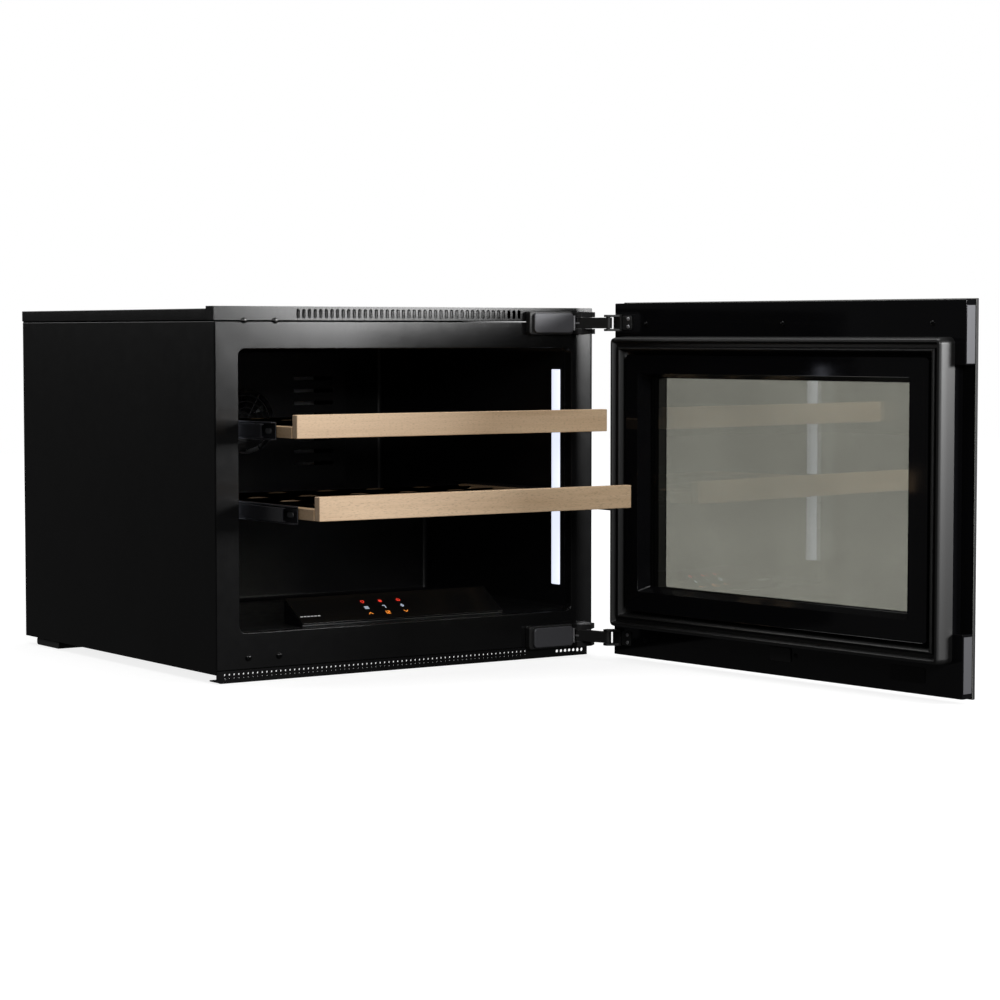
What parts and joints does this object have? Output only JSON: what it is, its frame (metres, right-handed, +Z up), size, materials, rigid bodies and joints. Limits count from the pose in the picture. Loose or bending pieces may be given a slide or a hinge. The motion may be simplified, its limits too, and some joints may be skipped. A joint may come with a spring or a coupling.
{
  "type": "built-in wine cooler",
  "caption": "Built-in black wine cooler for a low niche: glass door standing open on concealed double-pivot hinges, pull-out beech shelves, LED light strips and a touch panel.",
  "frame": {"origin": "middle of the underside of the plinth strip that the cabinet stands on, 15 mm behind the front face", "axes": "+X to the right seen from the front, +Y from the front into the cabinet, +Z up"},
  "size_m": [0.6327, 1.1853, 0.4616],
  "materials": {
    "case_black": "matte",
    "liner_black": "satin",
    "fan_black": "satin",
    "panel_glass": "gloss",
    "door_gloss_black": "gloss",
    "door_glass": "gloss",
    "gasket_rubber": "satin",
    "foot_rubber": "matte",
    "hinge_satin": "satin",
    "hinge_steel": "satin",
    "pin_steel": "satin",
    "rail_steel": "satin",
    "galvanised_steel": "satin",
    "aluminium": "satin",
    "compressor_black": "satin",
    "beech": "satin",
    "beech_rack": "satin",
    "foam": "matte",
    "led_diffuser": "satin"
  },
  "bodies": {
    "cabinet": {"side_panel_left": "case_black", "side_panel_right": "case_black", "top_panel": "case_black", "rear_panel": "case_black", "rear_grille": "case_black", "front_frame": "case_black", "top_vent_trim": "case_black", "plinth_grille": "case_black", "base_pan": "galvanised_steel", "inner_liner": "liner_black", "insulation_foam": "foam", "air_duct_cover": "liner_black", "evaporator_plate": "aluminium", "control_housing": "liner_black", "control_glass": "panel_glass", "compressor": "compressor_black", "condenser": "aluminium", "drip_tray": "liner_black", "power_box": "liner_black", "mains_inlet": "liner_black", "condenser_fan_frame": "fan_black", "led_strip_left": "led_diffuser", "rear_foot_left": "foot_rubber", "led_strip_right": "led_diffuser", "rear_foot_right": "foot_rubber", "hinge_housing_upper": "liner_black", "hinge_cover_upper": "hinge_satin", "hinge_bracket_upper": "hinge_steel", "hinge_pin_upper": "pin_steel", "upper_fixed_rail_left": "rail_steel", "upper_fixed_rail_right": "rail_steel", "hinge_housing_lower": "liner_black", "hinge_cover_lower": "hinge_satin", "hinge_bracket_lower": "hinge_steel", "hinge_pin_lower": "pin_steel", "lower_fixed_rail_left": "rail_steel", "lower_fixed_rail_right": "rail_steel"},
    "hinge_arms": {"hinge_arm_upper": "hinge_steel", "hinge_arm_lower": "hinge_steel"},
    "door": {"door_bracket_upper": "hinge_steel", "door_bracket_lower": "hinge_steel", "door_outer_glass": "door_glass", "door_inner_glass": "door_glass", "door_frame": "door_gloss_black", "door_plug_frame": "door_gloss_black", "door_gasket": "gasket_rubber"},
    "upper_runners": {"upper_middle_rail_left": "rail_steel", "upper_middle_rail_right": "rail_steel"},
    "upper_shelf": {"upper_shelf_board": "beech", "upper_shelf_rack": "beech_rack", "upper_shelf_rail_left": "rail_steel", "upper_shelf_rail_right": "rail_steel"},
    "lower_runners": {"lower_middle_rail_left": "rail_steel", "lower_middle_rail_right": "rail_steel"},
    "lower_shelf": {"lower_shelf_board": "beech", "lower_shelf_rack": "beech_rack", "lower_shelf_rail_left": "rail_steel", "lower_shelf_rail_right": "rail_steel"},
    "circulation_fan_wheel": {"circulation_fan": "fan_black"},
    "condenser_fan_wheel": {"condenser_fan": "fan_black"}
  },
  "joints": [
    {"name": "door_swing", "type": "hinge", "parent": "hinge_arms", "child": "door", "pos_m": [0.26484, -0.07144, 0], "axis": [0, 0, 1], "range_deg": [-168.62, 0]},
    {"name": "arm_swing", "type": "hinge", "parent": "cabinet", "child": "hinge_arms", "pos_m": [0.2513, -0.03, 0], "axis": [0, 0, 1], "range_deg": [0, 73.4]},
    {"name": "upper_runner_slide", "type": "slide", "parent": "cabinet", "child": "upper_runners", "axis": [0, 1, 0], "range_m": [0, 0.1355]},
    {"name": "lower_runner_slide", "type": "slide", "parent": "cabinet", "child": "lower_runners", "axis": [0, 1, 0], "range_m": [0, 0.1865]},
    {"name": "upper_shelf_slide", "type": "slide", "parent": "upper_runners", "child": "upper_shelf", "axis": [0, -1, 0], "range_m": [0, 0.2]},
    {"name": "lower_shelf_slide", "type": "slide", "parent": "lower_runners", "child": "lower_shelf", "axis": [0, -1, 0], "range_m": [0, 0.15]},
    {"name": "circulation_fan_spin", "type": "hinge", "parent": "cabinet", "child": "circulation_fan_wheel", "pos_m": [0, 0.427, 0.3], "axis": [0, 1, 0], "continuous": true},
    {"name": "condenser_fan_spin", "type": "hinge", "parent": "cabinet", "child": "condenser_fan_wheel", "pos_m": [0.025, 0.443, 0.08], "axis": [0, 1, 0], "continuous": true}
  ],
  "couplings": [
    {"joint": "arm_swing", "follows": "door_swing", "ratio": -0.43423},
    {"joint": "upper_runner_slide", "follows": "door_swing", "m_per_rad": -0.045872},
    {"joint": "lower_runner_slide", "follows": "door_swing", "m_per_rad": -0.063201}
  ]
}
